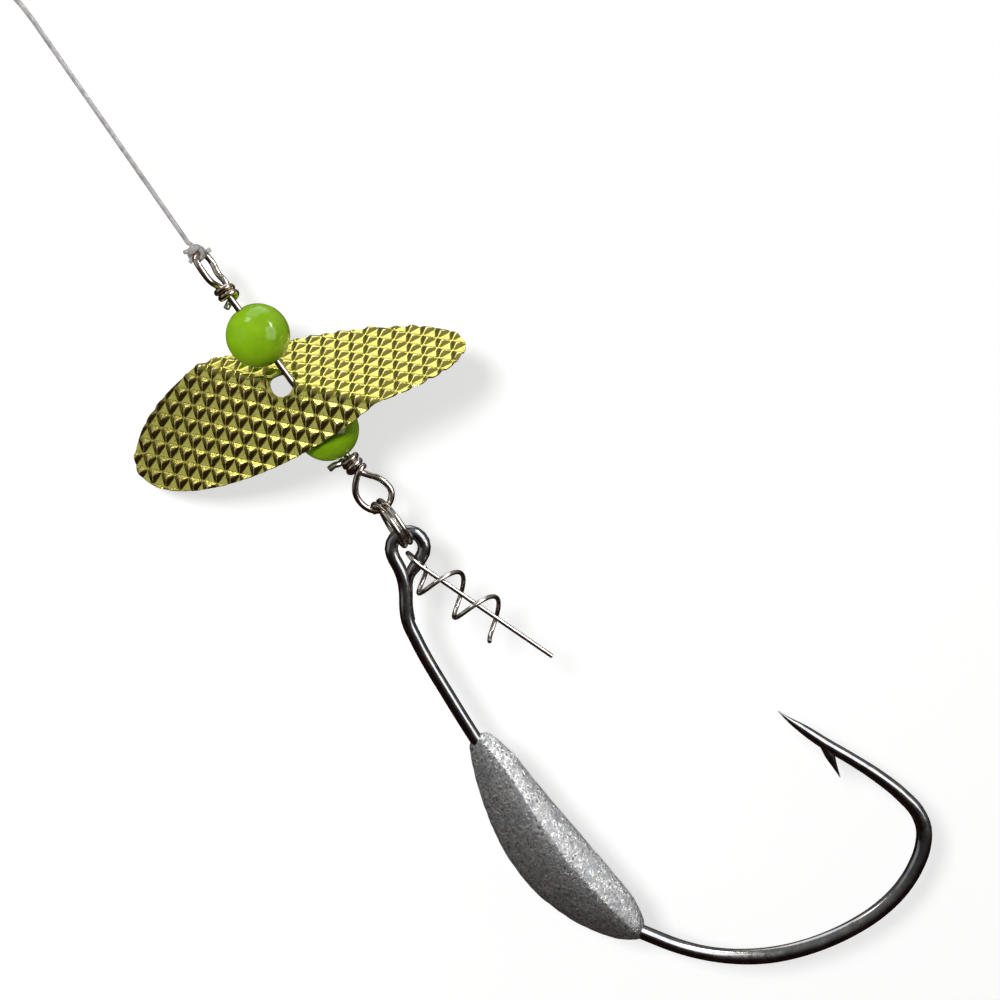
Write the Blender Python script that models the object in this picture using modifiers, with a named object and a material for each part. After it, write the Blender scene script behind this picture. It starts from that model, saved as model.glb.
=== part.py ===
"""In-line blade rig with a weighted swimbait hook, hanging straight down from its leader line.

Everything is stated in millimetres and scaled to metres by MM. +Z is up, the lure hangs along -Z,
and the hook and the wire eye that it hangs from lie in the XZ plane. Heights called "below the knot"
count from the top of the knot that ties the leader to the lure.
"""

import math

import bmesh
import bpy
from mathutils import Matrix, Vector
from mathutils.geometry import interpolate_bezier

MM = 0.001

# Leader line
LINE_DIAMETER = 0.45
LINE_LENGTH = 31.0
LINE_SWAY = 0.85  # how far the line leans out before it comes back to the top knot
LINE_START = -0.12
LINE_FADE = 0.22
END_LOOP_HEIGHT = 4.4
END_LOOP_WIDTH = 3.0
END_LOOP_OUTLINE = ((-0.2, 1.0), (-0.75, 0.68), (-1.0, 0.36), (-0.72, 0.08))
END_KNOT_HEIGHT = 1.8
END_KNOT_DIAMETER = 1.5
END_KNOT_WRAPS = 3
END_KNOT_GROOVE = 0.12
JOIN_GAP = 0.06
KNOT_STEM = 0.3
KNOT_TURNS = 2.75
KNOT_SLACK = 0.1
KNOT_WIDTH = 1.3
KNOT_TAIL = (0.45, -0.25, 0.75)
KNOT_Z = -(END_LOOP_HEIGHT + END_KNOT_HEIGHT + LINE_LENGTH + 2 * JOIN_GAP + KNOT_STEM)

# Shaft wire
SHAFT_WIRE = 0.62
WRAP_RADIUS = 0.70
WRAP_PITCH = 0.64
WRAP_LEAN = 0.25
UPPER_EYE_HALF_WIDTH = 1.35
UPPER_EYE_TURN = math.radians(66)
UPPER_EYE_TOP = -0.75
EYE_SAG = 0.33
UPPER_WRAP_TOP = -4.6
UPPER_WRAP_TURNS = 2.1
UPPER_TAIL = 0.75
LOWER_WRAP_BOTTOM = -26.2
LOWER_WRAP_TURNS = 2.58
LOWER_WRAP_START = math.radians(-40)
LOWER_TAIL = ((-0.3, -0.38, 0.04), (-0.85, -0.55, 0.24), (-1.35, -0.62, 0.22))
LOWER_EYE = (
    (0.0, 0.0, -24.9), (0.0, 0.0, -25.5), (0.06, 0.2, -26.35), (0.5, 0.24, -27.08), (1.05, 0.1, -27.78),
    (1.45, 0.0, -28.8), (1.42, 0.0, -29.7), (0.75, 0.0, -30.45), (-0.2, 0.0, -30.72),
    (-1.05, 0.0, -30.22), (-1.5, -0.05, -29.4), (-1.6, -0.1, -28.6), (-1.47, -0.2, -27.88),
    (-1.07, -0.32, -27.22), (-0.4, -0.5, -26.55), (0.2, -0.63, -26.15))

# Beads
BEAD_DIAMETER = 6.0
BEAD_BORE = 1.1
UPPER_BEAD_Z = -10.2
BORE_LIP = 0.15
LOWER_BEAD_Z = -21.25

# Propeller blade
BLADE_LENGTH = 35.8
BLADE_WIDTH = 13.4
BLADE_THICKNESS = 0.3
BLADE_HOLE = 2.5
BLADE_FOLD_ANGLE = math.radians(50)
BLADE_FOLD_RADIUS = 1.2
BLADE_FOLD_FROM_LENGTH = math.radians(36)
BLADE_CENTRE = (-0.85, -0.2, -15.2)
BLADE_OUTLINE_SHIFT = (-0.1, -0.35)
BLADE_FOLD_DIRECTION = (0.609, -0.574, -0.548)
BLADE_RIDGE_DIRECTION = (-0.022, -0.703, 0.711)

# Split ring
RING_WIRE = 0.56
RING_RADIUS = 2.45
RING_PITCH = 0.62
RING_TURNS = 1.95
RING_CENTRE = (-0.3, 0.0, -32.32)
RING_YAW = math.radians(10)
RING_LEAN = math.radians(4.7)

# Hook
HOOK_EYE_CENTRE = (-0.55, -35.2)
HOOK_EYE_RADIUS = 1.6
HOOK_WIRE = 1.3
HOOK_BEND_WIRE = 1.7

# Keel weight: height, inner edge x, outer edge x, ridge x and thickness of each section
WEIGHT_SECTIONS = (
    (-54.75, -5.7, -6.7, -6.2, 0.9), (-55.4, -4.85, -7.45, -5.9, 1.9), (-58.3, -4.25, -8.75, -5.75, 3.4),
    (-61.5, -4.1, -9.8, -5.85, 4.5), (-65.0, -3.95, -10.65, -6.05, 5.2), (-68.5, -3.7, -10.95, -6.15, 5.4),
    (-72.0, -3.5, -10.75, -6.05, 5.25), (-75.3, -3.3, -9.95, -5.75, 4.7), (-78.3, -3.2, -8.75, -5.4, 3.9),
    (-81.0, -3.7, -7.05, -5.1, 2.7), (-82.2, -4.7, -5.7, -5.1, 1.1))
WEIGHT_SIDES = 16
WEIGHT_SHARPNESS = 1.25
TUNNEL_GAP = 0.12
TUNNEL_TOP = -50.5
TUNNEL_BOTTOM = -86.5

# Bait keeper
KEEPER_WIRE = 0.45
PIN_TOP = (-0.62, -0.98, -36.95)
PIN_END = (4.55, -1.7, -52.0)
COIL_RADIUS = 1.95
COIL_PITCH = 4.25
COIL_TURNS = 2.25
COIL_START = 2.35
COIL_OFFSET = -0.41
COIL_TURN_LEAN = 0.75
COIL_RISE = 1.65
COIL_CLEARANCE = 0.85
KEEPER_LOOP = (
    (-0.78, -0.92, -36.27), (-0.85, -0.55, -35.76), (-0.85, 0.0, -35.6), (-0.82, 0.6, -35.83),
    (-0.75, 1.05, -36.38))

# Where each swinging part hangs from the one above it
SHAFT_PIVOT = (0.0, 0.0, -0.75)
RING_PIVOT = (-0.3, 0.0, -30.72)
HOOK_PIVOT = (-0.55, 0.0, -35.2)
KEEPER_PIVOT = (-0.62, 0.0, -35.6)


def at(x, z, y=0.0):
    """A point in metres, its height given in millimetres below the leader knot."""
    return Vector((x, y, KNOT_Z + z)) * MM


def start_scene():
    for thing in list(bpy.data.objects):
        bpy.data.objects.remove(thing, do_unlink=True)
    parts = bpy.data.collections.new("blade_rig_lure")
    cutters = bpy.data.collections.new("cutters")
    for collection in (parts, cutters):
        bpy.context.scene.collection.children.link(collection)
    return parts, cutters


def material(name, colour, roughness, metallic):
    made = bpy.data.materials.new(name)
    made.use_nodes = True
    shader = made.node_tree.nodes["Principled BSDF"]
    shader.inputs["Base Color"].default_value = (*colour, 1.0)
    shader.inputs["Roughness"].default_value = roughness
    shader.inputs["Metallic"].default_value = metallic
    return made


def add_object(name, data, collection, surface=None):
    thing = bpy.data.objects.new(name, data)
    collection.objects.link(thing)
    if surface is not None:
        data.materials.append(surface)
    return thing


def smooth_path(points, spacing):
    """Points about one spacing apart on a smooth curve through the given points."""
    gaps = [(end - start).length for start, end in zip(points, points[1:])]
    slopes = [(end - start) / gap for start, end, gap in zip(points, points[1:], gaps)]
    tangents = [slopes[0]]
    for index in range(len(slopes) - 1):
        share = gaps[index] / (gaps[index] + gaps[index + 1])
        tangents.append(slopes[index].lerp(slopes[index + 1], share))
    tangents.append(slopes[-1])
    path = [points[0].copy()]
    for index, gap in enumerate(gaps):
        start, end = points[index], points[index + 1]
        start_handle = start + tangents[index] * gap / 3
        end_handle = end - tangents[index + 1] * gap / 3
        pieces = max(1, round(gap / spacing))
        path += interpolate_bezier(start, start_handle, end_handle, end, pieces + 1)[1:]
    return path


def wire(name, path, diameter, collection, surface, scales=None, resolution=2):
    """A round wire with closed ends along a path, thinned or thickened by one scale a point."""
    curve = bpy.data.curves.new(name, "CURVE")
    curve.dimensions = "3D"
    curve.bevel_depth = diameter / 2 * MM
    curve.bevel_resolution = resolution
    curve.use_fill_caps = True
    spline = curve.splines.new("POLY")
    spline.points.add(len(path) - 1)
    for index, (slot, point) in enumerate(zip(spline.points, path)):
        slot.co = (*point, 1.0)
        slot.radius = scales[index] if scales else 1.0
    return add_object(name, curve, collection, surface)


def to_mesh(thing, collection):
    """Turn a curve object into a welded mesh object of the same name."""
    bpy.context.view_layer.update()
    evaluated = thing.evaluated_get(bpy.context.evaluated_depsgraph_get())
    data = bpy.data.meshes.new_from_object(evaluated)
    cage = bmesh.new()
    cage.from_mesh(data)
    bmesh.ops.remove_doubles(cage, verts=cage.verts, dist=1e-7)
    cage.to_mesh(data)
    cage.free()
    name = thing.name
    matrix = thing.matrix_world.copy()
    bpy.data.objects.remove(thing, do_unlink=True)
    solid = bpy.data.objects.new(name, data)
    solid.matrix_world = matrix
    collection.objects.link(solid)
    return solid


def boolean(thing, other, operation):
    modifier = thing.modifiers.new(operation.lower(), "BOOLEAN")
    modifier.operation = operation
    modifier.solver = "EXACT"
    modifier.object = other


def hide_cutter(thing):
    thing.hide_render = True
    thing.display_type = "WIRE"


def spread(first, last, count):
    return [first + (last - first) * index / (count - 1) for index in range(count)]


def turned(name, profile, place, collection, surface, steps=24):
    """A turned solid from (radius, height) points that run down the outer side."""
    data = bpy.data.meshes.new(name)
    corners = [(radius * MM, 0.0, height * MM) for radius, height in profile]
    closed = profile[0][0] > 0
    edges = [(index, index + 1) for index in range(len(corners) - 1)]
    if closed:
        edges.append((len(corners) - 1, 0))
    data.from_pydata(corners, edges, [])
    thing = add_object(name, data, collection, surface)
    thing.location = place
    screw = thing.modifiers.new("turn", "SCREW")
    screw.steps = steps
    screw.render_steps = steps
    screw.use_merge_vertices = True
    screw.merge_threshold = 1e-6
    return thing


def make_leader(parts, nylon):
    """The line with a tied loop above it, which ends level with the origin's inner edge."""
    radius = LINE_DIAMETER / 2
    loop_bottom = -END_LOOP_HEIGHT
    half = END_LOOP_WIDTH / 2
    left = [Vector((side * half, 0.0, drop * loop_bottom)) for side, drop in END_LOOP_OUTLINE]
    right = [Vector((-point.x, 0.0, point.z)) for point in reversed(left)]
    loop_points = [*left, Vector((0.0, 0.0, radius)), *right]
    loop_path = [point * MM for point in smooth_path(loop_points, 0.55)]
    wire("line_end_loop", loop_path, LINE_DIAMETER, parts, nylon)

    knot_top = loop_bottom - JOIN_GAP
    belly = END_KNOT_DIAMETER / 2
    profile = [(0.0, knot_top)]
    steps = END_KNOT_WRAPS * 4
    for index in range(steps + 1):
        bulge = -END_KNOT_GROOVE * math.cos(index / 4 * 2 * math.pi)
        height = knot_top - 0.1 - (END_KNOT_HEIGHT - 0.2) * index / steps
        profile.append((belly - END_KNOT_GROOVE + bulge, height))
    profile.append((0.0, knot_top - END_KNOT_HEIGHT))
    turned("line_end_knot", profile, (0, 0, 0), parts, nylon, steps=16)

    line_top = knot_top - END_KNOT_HEIGHT - JOIN_GAP
    path = []
    for share in spread(0.0, 1.0, 28):
        fade = min(1.0, share / LINE_FADE)
        fade = fade * fade * (3.0 - 2.0 * fade)
        sway = fade * (LINE_START + LINE_SWAY * (1.0 - share))
        path.append(Vector((sway, 0.0, line_top - LINE_LENGTH * share)) * MM)
    wire("leader_line", path, LINE_DIAMETER, parts, nylon)


def eye_frame(turn):
    """Unit vectors across the upper eye's opening and out of its plane."""
    across = Vector((math.cos(turn), math.sin(turn), 0.0))
    out = Vector((-math.sin(turn), math.cos(turn), 0.0))
    return across, out


def make_leader_knot(parts, nylon):
    """Turns of the line round the top of the wire eye, with the cut tail standing up."""
    across, out = eye_frame(UPPER_EYE_TURN)
    coil = (SHAFT_WIRE + LINE_DIAMETER) / 2 + KNOT_SLACK
    control = [Vector((0.0, 0.0, KNOT_STEM - JOIN_GAP)), Vector((0.0, 0.0, KNOT_STEM - 0.25))]
    steps = int(KNOT_TURNS * 10)
    for index in range(steps + 1):
        angle = math.radians(90) - 2 * math.pi * KNOT_TURNS * index / steps
        along = KNOT_WIDTH * (index / steps - 0.48)
        point = across * along + out * (coil * math.cos(angle))
        point.z = UPPER_EYE_TOP + coil * math.sin(angle) - EYE_SAG * along ** 2
        control.append(point)
    tail = across * KNOT_TAIL[0] + out * KNOT_TAIL[1] + Vector((0.0, 0.0, KNOT_TAIL[2]))
    control.append(control[-1] + tail)
    path = [at(point.x, point.z, point.y) for point in control]
    wire("leader_knot", path, LINE_DIAMETER, parts, nylon)


def wrapped(start, turns, height, pitch):
    """Points on the turns that the wire's end takes round the shaft."""
    steps = int(turns * 12)
    points = []
    for index in range(steps + 1):
        angle = start + 2 * math.pi * turns * index / steps
        rise = pitch * turns * index / steps - WRAP_LEAN * math.sin(angle)
        points.append(Vector((WRAP_RADIUS * math.cos(angle), WRAP_RADIUS * math.sin(angle), height + rise)))
    return points


def make_shaft(parts, steel):
    """One wire: a wrapped eye at each end of a straight shaft."""
    across, out = eye_frame(UPPER_EYE_TURN)

    def eye_point(side, height, behind=0.0):
        return across * side + out * behind + Vector((0.0, 0.0, height))

    half = UPPER_EYE_HALF_WIDTH
    top = UPPER_EYE_TOP
    upper = [
        eye_point(0.0, -6.0), eye_point(0.0, -5.4), eye_point(-0.6, -4.35), eye_point(-1.25, -3.45),
        eye_point(-half, -2.35), eye_point(-0.75 * half, top - 0.33), eye_point(0.0, top),
        eye_point(0.75 * half, top - 0.33), eye_point(half, -2.2), eye_point(0.95, -3.4)]
    wraps = wrapped(UPPER_EYE_TURN, UPPER_WRAP_TURNS, UPPER_WRAP_TOP, -WRAP_PITCH)
    last = UPPER_EYE_TURN + 2 * math.pi * UPPER_WRAP_TURNS
    leaving = Vector((-math.sin(last), math.cos(last), -0.4))
    upper_tail = wraps[-1] + leaving * UPPER_TAIL

    lower_eye = [Vector(point) for point in LOWER_EYE]
    lower_wraps = wrapped(LOWER_WRAP_START, LOWER_WRAP_TURNS, LOWER_WRAP_BOTTOM, WRAP_PITCH)
    lower_tail = [lower_wraps[-1] + Vector(step) for step in LOWER_TAIL]

    upper_end = smooth_path([upper_tail, *reversed(wraps), *reversed(upper)], 0.5)
    lower_end = smooth_path([*lower_eye, *lower_wraps, *lower_tail], 0.5)
    path = [at(point.x, point.z, point.y) for point in upper_end + lower_end]
    wire("shaft_wire", path, SHAFT_WIRE, parts, steel)


def make_bead(name, height, parts, plastic):
    """A round bead with a bore along Z and slightly rounded bore edges."""
    radius = BEAD_DIAMETER / 2
    bore = BEAD_BORE / 2
    first = math.asin((bore + BORE_LIP) / radius)
    profile = [(bore, radius * math.cos(first) - 0.08)]
    for angle in spread(first, math.pi - first, 13):
        profile.append((radius * math.sin(angle), radius * math.cos(angle)))
    profile.append((bore, -radius * math.cos(first) + 0.08))
    return turned(name, profile, at(0.0, height), parts, plastic)


def make_blade(parts, cutters, film):
    """An oval sheet with a central hole, folded across on a slanted line."""
    sheet = bmesh.new()
    bmesh.ops.create_circle(sheet, cap_ends=True, segments=44, radius=1.0)
    slant = Matrix.Rotation(BLADE_FOLD_FROM_LENGTH, 4, "Z")
    oval = Matrix.Diagonal((BLADE_LENGTH / 2 * MM, BLADE_WIDTH / 2 * MM, 1.0, 1.0))
    shift = Matrix.Translation((BLADE_OUTLINE_SHIFT[0] * MM, BLADE_OUTLINE_SHIFT[1] * MM, 0.0))
    sheet.transform(shift @ slant @ oval)
    arc = BLADE_FOLD_RADIUS * BLADE_FOLD_ANGLE * MM
    for place in spread(-arc / 2, arc / 2, 5):
        geometry = list(sheet.verts) + list(sheet.edges) + list(sheet.faces)
        bmesh.ops.bisect_plane(sheet, geom=geometry, plane_co=(0, place, 0), plane_no=(0, 1, 0), dist=1e-8)
    for corner in sheet.verts:
        corner.co = folded(corner.co.x, corner.co.y, arc)
    data = bpy.data.meshes.new("blade")
    sheet.to_mesh(data)
    sheet.free()
    blade = add_object("blade", data, parts, film)
    wall = blade.modifiers.new("wall", "SOLIDIFY")
    wall.thickness = BLADE_THICKNESS * MM
    wall.offset = 0.0
    punch = bmesh.new()
    bmesh.ops.create_cone(punch, cap_ends=True, segments=24, radius1=BLADE_HOLE / 2 * MM,
                          radius2=BLADE_HOLE / 2 * MM, depth=6 * MM)
    punch_data = bpy.data.meshes.new("blade_punch")
    punch.to_mesh(punch_data)
    punch.free()
    cutter = add_object("blade_punch", punch_data, cutters)
    hide_cutter(cutter)
    boolean(blade, cutter, "DIFFERENCE")

    along = Vector(BLADE_FOLD_DIRECTION).normalized()
    ridge = Vector(BLADE_RIDGE_DIRECTION)
    ridge = (ridge - along * ridge.dot(along)).normalized()
    axes = Matrix((along, ridge.cross(along), ridge)).transposed().to_4x4()
    x, y, z = BLADE_CENTRE
    place = Matrix.Translation(at(x, z, y)) @ axes
    blade.matrix_world = place
    cutter.matrix_world = place


def folded(s, t, arc):
    """Where a flat point lands when the sheet is bent about the X axis, ridge up."""
    radius = BLADE_FOLD_RADIUS * MM
    half = BLADE_FOLD_ANGLE / 2
    bend = max(-half, min(half, t / arc * BLADE_FOLD_ANGLE))
    beyond = t - bend / BLADE_FOLD_ANGLE * arc
    y = radius * math.sin(bend) + beyond * math.cos(bend)
    z = radius * (math.cos(bend) - 1.0) - abs(beyond) * math.sin(abs(bend))
    return Vector((s, y, z))


def make_split_ring(parts, steel):
    """Two turns of wire side by side, standing across the two eyes that it joins."""
    steps = round(RING_TURNS * 26)
    x, y, z = RING_CENTRE
    tilt = Matrix.Rotation(RING_YAW, 3, "Z") @ Matrix.Rotation(RING_LEAN, 3, "Y")
    path = []
    for index in range(steps + 1):
        angle = math.radians(35) + 2 * math.pi * RING_TURNS * index / steps
        side = RING_PITCH * RING_TURNS * (index / steps - 0.5)
        point = tilt @ Vector((side, RING_RADIUS * math.cos(angle), RING_RADIUS * math.sin(angle)))
        path.append(at(x + point.x, z + point.z, y + point.y))
    wire("split_ring", path, RING_WIRE, parts, steel)


def hook_path():
    """Centre line of the hook wire with a scale for each point, from the eye's tucked end to the point."""
    x, z = HOOK_EYE_CENTRE
    control = [(-2.3, -38.85, 0.40), (-1.85, -38.2, 0.52), (-1.3, -37.5, 0.72)]
    for degrees in range(-68, 186, 23):
        angle = math.radians(degrees)
        control.append((x + HOOK_EYE_RADIUS * math.cos(angle), z + HOOK_EYE_RADIUS * math.sin(angle), 1.0))
    bend = HOOK_BEND_WIRE / HOOK_WIRE
    control += [(-2.36, -36.35, 1.0), (-2.7, -37.5, 1.0), (-3.35, -38.75, 1.0), (-4.1, -39.85, 1.0),
                (-4.75, -41.1, 1.0), (-5.15, -43.0, 1.0), (-5.95, -50.0, 1.0), (-6.35, -55.1, 1.0),
                (-6.6, -61.0, 1.0), (-6.7, -67.0, 1.0), (-6.5, -72.5, 1.05), (-5.9, -77.8, 1.1),
                (-4.95, -81.3, 1.14), (-4.02, -83.05, 1.15), (-2.39, -85.8, 1.14), (-0.42, -88.35, 1.16),
                (1.88, -90.56, 1.25), (4.44, -92.4, bend), (7.24, -93.8, bend), (10.18, -94.8, bend),
                (13.22, -95.4, bend), (16.31, -95.55, bend), (19.36, -95.06, bend), (21.66, -94.1, bend),
                (23.72, -92.6, bend), (24.88, -91.0, 1.26), (25.3, -89.0, 1.18), (25.0, -86.6, 1.12),
                (24.03, -83.1, 1.04), (22.85, -80.0, 0.96), (21.55, -76.95, 0.84), (20.4, -73.95, 0.46),
                (19.6, -71.3, 0.06)]
    return control


def make_hook(parts, cutters, black):
    """The hook as one tapered wire with a cut barb standing off the point."""
    path = smooth_path([Vector(row) for row in hook_path()], 2.2)
    placed = [at(x, z) for x, z, _ in path]
    scales = [scale for _, _, scale in path]
    hook = to_mesh(wire("hook", placed, HOOK_WIRE, parts, None, scales, resolution=3), parts)
    hook.data.materials.append(black)
    barb_path = [at(21.85, -77.4), at(21.5, -79.0), at(20.87, -80.95)]
    barb = to_mesh(wire("hook_barb", barb_path, 1.0, cutters, None, [0.9, 0.7, 0.06]), cutters)
    hide_cutter(barb)
    boolean(hook, barb, "UNION")
    return placed, scales


def make_weight(parts, cutters, lead, hook_line, hook_scales):
    """A cast keel: a loft of kite-shaped sections with rounded corners, tunnelled for the hook."""
    loft = bmesh.new()
    rings = []
    for z, inner, outer, ridge, thickness in WEIGHT_SECTIONS:
        ring = []
        for index in range(WEIGHT_SIDES):
            angle = 2 * math.pi * index / WEIGHT_SIDES
            reach = inner - ridge if math.cos(angle) > 0 else ridge - outer
            x = ridge + reach * round_power(math.cos(angle), WEIGHT_SHARPNESS)
            y = thickness / 2 * round_power(math.sin(angle), WEIGHT_SHARPNESS)
            ring.append(loft.verts.new(at(x, z, y)))
        rings.append(ring)
    for above, below in zip(rings, rings[1:]):
        for index in range(WEIGHT_SIDES):
            after = (index + 1) % WEIGHT_SIDES
            loft.faces.new((above[index], below[index], below[after], above[after]))
    loft.faces.new(rings[0])
    loft.faces.new(list(reversed(rings[-1])))
    bmesh.ops.recalc_face_normals(loft, faces=loft.faces)
    data = bpy.data.meshes.new("keel_weight")
    loft.to_mesh(data)
    loft.free()
    weight = add_object("keel_weight", data, parts, lead)
    top, bottom = at(0.0, TUNNEL_TOP).z, at(0.0, TUNNEL_BOTTOM).z
    inside = [index for index, point in enumerate(hook_line) if bottom < point.z < top]
    path = [hook_line[index] for index in inside]
    scales = [hook_scales[index] * (1 + 2 * TUNNEL_GAP / HOOK_WIRE) for index in inside]
    tunnel = to_mesh(wire("weight_tunnel", path, HOOK_WIRE, cutters, None, scales), cutters)
    hide_cutter(tunnel)
    boolean(weight, tunnel, "DIFFERENCE")


def round_power(value, power):
    return math.copysign(abs(value) ** power, value)


def make_keeper(parts, steel):
    """One wire: a centring pin, a loop through the hook eye and an open coil round the pin."""
    pin_top = Vector(PIN_TOP)
    pin_end = Vector(PIN_END)
    control = [pin_end + (pin_top - pin_end) * share for share in (0.0, 0.5, 0.9, 1.0)]
    control += [Vector(point) for point in KEEPER_LOOP]
    axis = (pin_end - pin_top).normalized()
    side = Vector((-axis.z, 0.0, axis.x)).normalized()
    start = pin_top - axis * COIL_RISE + Vector((0.0, COIL_CLEARANCE, 0.0))
    steps = int(COIL_TURNS * 12)
    for index in range(steps + 1):
        turn = COIL_TURNS * index / steps
        angle = math.radians(90) + 2 * math.pi * turn
        swing = COIL_RADIUS * min(1.0, 0.78 + 0.9 * turn)
        along = COIL_START + COIL_PITCH * turn + COIL_TURN_LEAN * math.sin(angle)
        reach = COIL_OFFSET + swing * math.cos(angle)
        point = start + axis * along + side * reach
        point.y += swing * math.sin(angle)
        control.append(point)
    path = [at(point.x, point.z, point.y) for point in smooth_path(control, 1.5)]
    wire("bait_keeper", path, KEEPER_WIRE, parts, steel)


def set_origin(name, place):
    """Put a part's origin where it hangs from the part above, leaving its shape in place."""
    x, y, z = place
    thing = bpy.data.objects[name]
    thing.data.transform(Matrix.Translation(-at(x, z, y)))
    thing.location = at(x, z, y)


def main():
    parts, cutters = start_scene()
    nylon = material("clear_nylon", (0.72, 0.72, 0.74), 0.2, 0.0)
    steel = material("tinted_steel", (0.42, 0.37, 0.33), 0.25, 1.0)
    bright = material("bright_steel", (0.55, 0.53, 0.5), 0.22, 1.0)
    plastic = material("lime_plastic", (0.35, 0.62, 0.03), 0.12, 0.0)
    film = material("gold_film", (0.60, 0.58, 0.10), 0.25, 0.9)
    black = material("black_nickel", (0.06, 0.06, 0.065), 0.25, 0.9)
    lead = material("cast_lead", (0.42, 0.42, 0.43), 0.5, 0.8)
    make_leader(parts, nylon)
    make_leader_knot(parts, nylon)
    make_shaft(parts, steel)
    make_bead("upper_bead", UPPER_BEAD_Z, parts, plastic)
    make_bead("lower_bead", LOWER_BEAD_Z, parts, plastic)
    make_blade(parts, cutters, film)
    make_split_ring(parts, bright)
    hook_line, hook_scales = make_hook(parts, cutters, black)
    make_weight(parts, cutters, lead, hook_line, hook_scales)
    make_keeper(parts, bright)
    set_origin("shaft_wire", SHAFT_PIVOT)
    set_origin("split_ring", RING_PIVOT)
    set_origin("hook", HOOK_PIVOT)
    set_origin("keel_weight", HOOK_PIVOT)
    set_origin("bait_keeper", KEEPER_PIVOT)


main()
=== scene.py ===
import math

import bmesh
import bpy
from mathutils import Matrix, Vector, noise
from mathutils.geometry import interpolate_bezier


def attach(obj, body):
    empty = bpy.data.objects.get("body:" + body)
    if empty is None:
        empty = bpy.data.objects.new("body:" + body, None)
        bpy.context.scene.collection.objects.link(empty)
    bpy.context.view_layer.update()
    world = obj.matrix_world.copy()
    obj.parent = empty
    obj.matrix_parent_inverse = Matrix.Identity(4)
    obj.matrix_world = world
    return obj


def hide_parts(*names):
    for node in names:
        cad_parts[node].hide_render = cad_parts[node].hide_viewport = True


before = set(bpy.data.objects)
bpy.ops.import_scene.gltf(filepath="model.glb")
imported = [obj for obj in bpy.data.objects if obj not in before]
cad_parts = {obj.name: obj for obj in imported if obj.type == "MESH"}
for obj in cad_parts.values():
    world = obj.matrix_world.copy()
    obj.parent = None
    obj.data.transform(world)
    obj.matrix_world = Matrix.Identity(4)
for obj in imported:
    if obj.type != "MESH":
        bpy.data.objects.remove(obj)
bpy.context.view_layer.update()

mm = 0.001
leaderKnotHeight = -37.62  # mm below the origin, where the leader is tied to the lure


def at(x, z, y=0.0):
    # a point in metres, its height counted in mm from the leader knot
    return Vector((x, y, leaderKnotHeight + z)) * mm


# camera, light and table

view = {
    "place": (0.00935, -0.20267, -0.02378),
    "right": (0.811, -0.1415, -0.5676),
    "up": (0.585, 0.1962, 0.7869),
    "distance": 0.2,
    "lens": 78.0,
}

viewRight = Vector(view["right"]).normalized()
viewUp = Vector(view["up"])
viewUp = (viewUp - viewRight * viewUp.dot(viewRight)).normalized()
viewBack = viewRight.cross(viewUp)
viewTarget = Vector(view["place"]) - viewBack * view["distance"]


def towards(right, up, back):
    # a world direction from shares of the camera's own right, up and back
    return (viewRight * right + viewUp * up + viewBack * back).normalized()


def makeCamera():
    lens = bpy.data.cameras.new("lureCamera")
    lens.lens = view["lens"]
    lens.sensor_width = 36.0
    lens.clip_start = 0.01
    camera = bpy.data.objects.new("lureCamera", lens)
    turn = Matrix((viewRight, viewUp, viewBack)).transposed().to_4x4()
    camera.matrix_world = Matrix.Translation(view["place"]) @ turn
    bpy.context.scene.collection.objects.link(camera)
    bpy.context.scene.camera = camera
    bpy.context.scene.view_settings.view_transform = "Standard"


# glow is the brightness of a lamp's own face, and use says whether it gives gloss, soft light or both
lamps = [
    {"name": "windowLeft", "aim": (0.600, 0.68, 0.42), "away": 0.32, "size": (0.020, 0.075), "glow": 30.0,
     "use": "gloss"},
    {"name": "windowRight", "aim": (0.69, 0.60, 0.42), "away": 0.32, "size": (0.042, 0.075), "glow": 27.0,
     "use": "gloss"},
    {"name": "streakCard", "aim": (0.77, 0.15, 0.61), "away": 0.34, "size": (0.25, 0.27), "glow": 3.4,
     "use": "gloss"},
    {"name": "topSoftbox", "aim": (-0.12, 0.98, -0.08), "away": 0.34, "size": (0.34, 0.20), "glow": 1.9,
     "use": "both"},
    {"name": "crestLamp", "aim": (-0.50, 0.77, 0.40), "away": 0.34, "size": (0.09, 0.09), "glow": 7.0,
     "use": "gloss"},
    {"name": "leftCard", "aim": (-0.88, -0.02, 0.48), "away": 0.36, "size": (0.28, 0.30), "glow": 0.42,
     "use": "gloss"},
    {"name": "fillLamp", "aim": (-0.24, 0.17, 0.95), "away": 0.50, "size": (0.10, 0.10), "glow": 60.0,
     "use": "soft"},
]


def makeLamp(lamp):
    light = bpy.data.lights.new(lamp["name"], "AREA")
    light.shape = "RECTANGLE"
    light.size, light.size_y = lamp["size"]
    light.energy = lamp["glow"] * math.pi * light.size * light.size_y
    back = towards(*lamp["aim"])
    across = viewUp.cross(back).normalized()
    turn = Matrix((across, back.cross(across), back)).transposed().to_4x4()
    holder = bpy.data.objects.new(lamp["name"], light)
    holder.matrix_world = Matrix.Translation(viewTarget + back * lamp["away"]) @ turn
    holder.visible_glossy = lamp["use"] != "soft"
    holder.visible_diffuse = lamp["use"] != "gloss"
    bpy.context.scene.collection.objects.link(holder)


room = {
    "shown": (1.0, 1.0, 1.0), "ceilingAim": (0.15, 0.85, 0.40),
    "floorTone": (0.020, 0.010, 0.007), "floorPlace": 0.38,
    "sideTone": (0.10, 0.10, 0.10), "sidePlace": 0.56,
    "ceilingTone": (0.34, 0.34, 0.32), "ceilingPlace": 0.9,
}


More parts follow.
